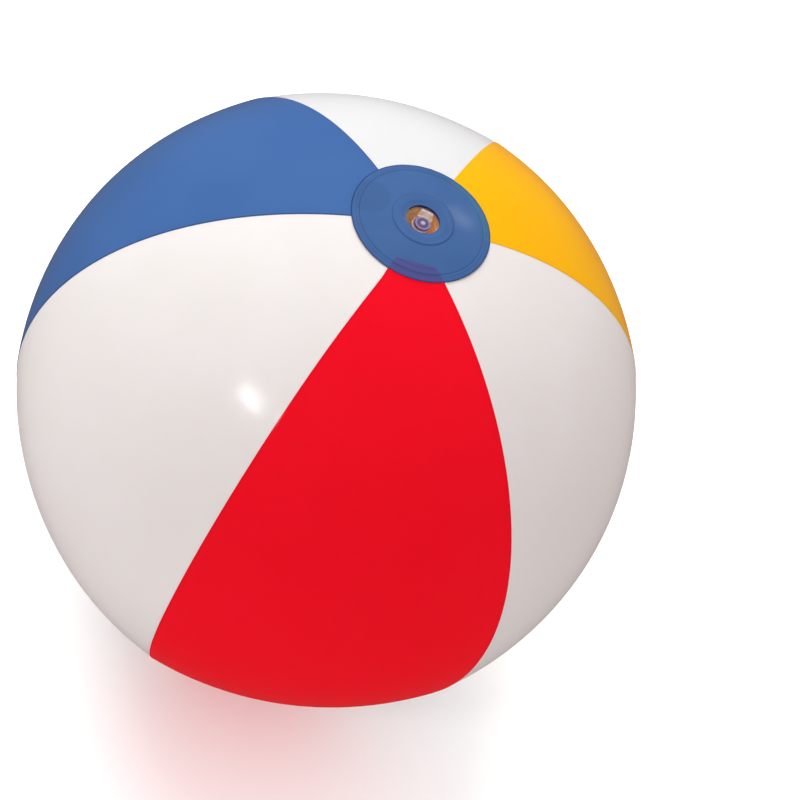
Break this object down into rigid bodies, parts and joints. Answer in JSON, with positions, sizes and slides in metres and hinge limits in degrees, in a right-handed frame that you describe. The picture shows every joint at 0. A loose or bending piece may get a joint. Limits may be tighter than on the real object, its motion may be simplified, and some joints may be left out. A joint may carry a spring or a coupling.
{
  "type": "inflatable beach ball",
  "caption": "Blown-up beach ball of coloured and white film gores with a blue disc over each pole and a push-in inflation valve with a tethered stopper.",
  "frame": {"origin": "middle of the blown-up ball", "axes": "+Z along the axis through the two end discs, leaving through the valve; -Y through the middle of the red panel"},
  "size_m": [0.3268, 0.3203, 0.3198],
  "materials": {
    "red_film": "glossy soft PVC film, opaque red",
    "yellow_film": "glossy soft PVC film, opaque warm yellow",
    "blue_film": "glossy soft PVC film, opaque blue",
    "white_film": "glossy soft PVC film, white",
    "disc_film": "glossy soft PVC film, slightly see-through blue",
    "clear_pvc": "clear soft PVC moulding",
    "stopper_pvc": "clear soft PVC moulding, thick enough to look lilac grey"
  },
  "bodies": {
    "ball": {"panel_red": "red_film", "panel_white_right": "white_film", "panel_yellow": "yellow_film", "panel_white_back": "white_film", "panel_blue": "blue_film", "panel_white_left": "white_film", "valve_disc": "disc_film", "base_disc": "disc_film", "valve_flange": "clear_pvc", "valve_skirt": "clear_pvc"},
    "stem": {"valve_stem": "clear_pvc"},
    "stopper": {"stopper": "stopper_pvc", "stopper_strap": "stopper_pvc"},
    "flap": {"check_flap": "clear_pvc"}
  },
  "joints": [
    {"name": "valve_pop", "type": "slide", "parent": "ball", "child": "stem", "axis": [0, 0, 1], "range_m": [0, 0.018], "deforming": ["valve_skirt"]},
    {"name": "stopper_flip", "type": "hinge", "parent": "stem", "child": "stopper", "pos_m": [0.00222, 0.00611, 0.15629], "axis": [-0.9397, 0.342, 0], "range_deg": [0, 95]},
    {"name": "flap_swing", "type": "hinge", "parent": "stem", "child": "flap", "pos_m": [-0.0013, -0.00357, 0.13744], "axis": [-0.9397, 0.342, 0], "range_deg": [0, 40], "stiffness_Nm_per_rad": 0.0001}
  ]
}
